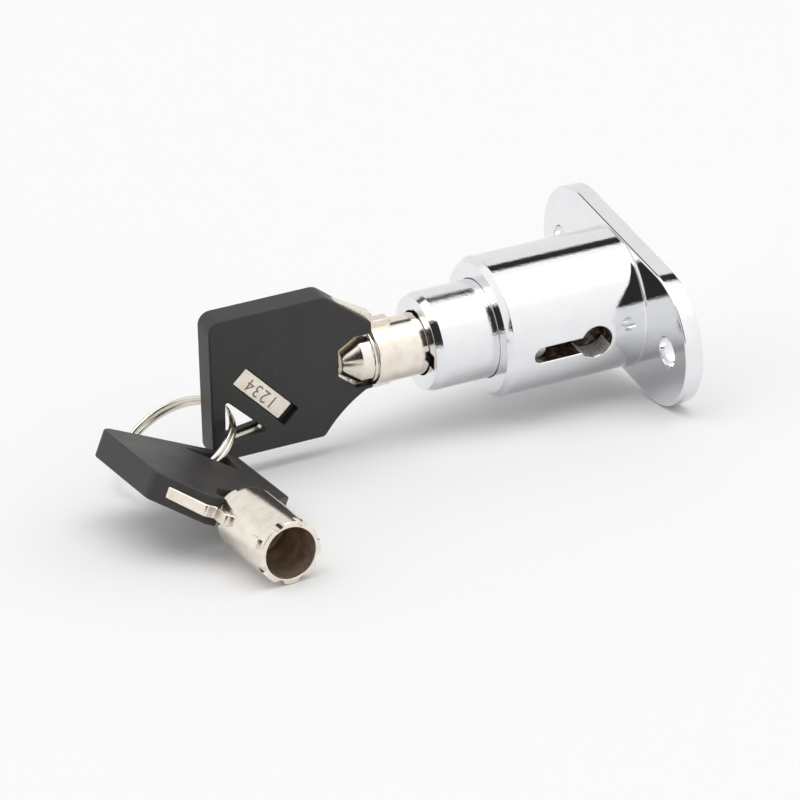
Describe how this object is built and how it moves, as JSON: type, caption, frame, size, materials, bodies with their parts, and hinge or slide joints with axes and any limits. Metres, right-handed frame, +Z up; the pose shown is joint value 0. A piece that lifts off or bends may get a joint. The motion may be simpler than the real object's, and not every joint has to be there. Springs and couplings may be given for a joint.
{
  "type": "tubular key push lock",
  "caption": "Push lock with a round barrel on an oblong two-hole flange, a popped-out plunger, a tubular key turned in it and a second key on a split ring.",
  "frame": {"origin": "On the lock's axis, in the plane of the flange's front face, midway between the two screw holes", "axes": "Y is the lock's axis with the key end toward -Y, X runs along the flange's long side and Z is up"},
  "size_m": [0.0686, 0.0916, 0.0258],
  "materials": {
    "chrome_plate": "bright chrome plate on die-cast zinc, faintly rippled",
    "steel": "plain turned steel",
    "brass": "turned brass",
    "nickel_plate": "warm nickel plate",
    "black_plastic": "fine matte charcoal moulding with smoother rounded edges"
  },
  "bodies": {
    "housing": {"housing": "chrome_plate", "stop_pin": "steel", "return_spring": "steel"},
    "plunger": {"plunger": "chrome_plate", "bolt": "steel", "bolt_pin": "steel", "stator": "brass", "stator_pin": "steel", "driver_pins": "brass", "pin_springs": "steel", "locking_pin_spring": "steel"},
    "rotor": {"rotor": "chrome_plate", "key_pins": "brass", "cam": "steel"},
    "locking_pin": {"locking_pin": "steel"},
    "key_a": {"key_a_tube": "nickel_plate", "key_a_plate": "nickel_plate", "key_a_bow": "black_plastic"},
    "ring": {"split_ring": "nickel_plate"},
    "key_b": {"key_b_tube": "nickel_plate", "key_b_plate": "nickel_plate", "key_b_bow": "black_plastic"}
  },
  "joints": [
    {"name": "plunger_slide", "type": "slide", "parent": "housing", "child": "plunger", "axis": [0, 1, 0], "range_m": [0, 0.0091], "stiffness_N_per_m": 150, "springref_m": -0.004, "deforming": ["return_spring"]},
    {"name": "key_turn", "type": "hinge", "parent": "plunger", "child": "rotor", "pos_m": [0, -0.03, 0], "axis": [0, 1, 0], "range_deg": [0, 96]},
    {"name": "pin_slide", "type": "slide", "parent": "plunger", "child": "locking_pin", "axis": [1, 0, 0], "range_m": [0, 0.0012]},
    {"name": "key_withdraw", "type": "slide", "parent": "rotor", "child": "key_a", "axis": [0, -1, 0], "range_m": [0, 0.01]},
    {"name": "ring_swing", "type": "hinge", "parent": "key_a", "child": "ring", "pos_m": [0.00048, -0.06453, -0.00459], "axis": [-0.987, 0.1606, 0.0095], "range_deg": [-8, 8]},
    {"name": "loose_key_swing", "type": "hinge", "parent": "ring", "child": "key_b", "pos_m": [0.00806, -0.07179, -0.00754], "axis": [-0.1187, 0.8989, 0.4217], "range_deg": [-8, 8]}
  ],
  "couplings": [
    {"joint": "pin_slide", "follows": "key_turn", "m_per_rad": 0.000716}
  ]
}
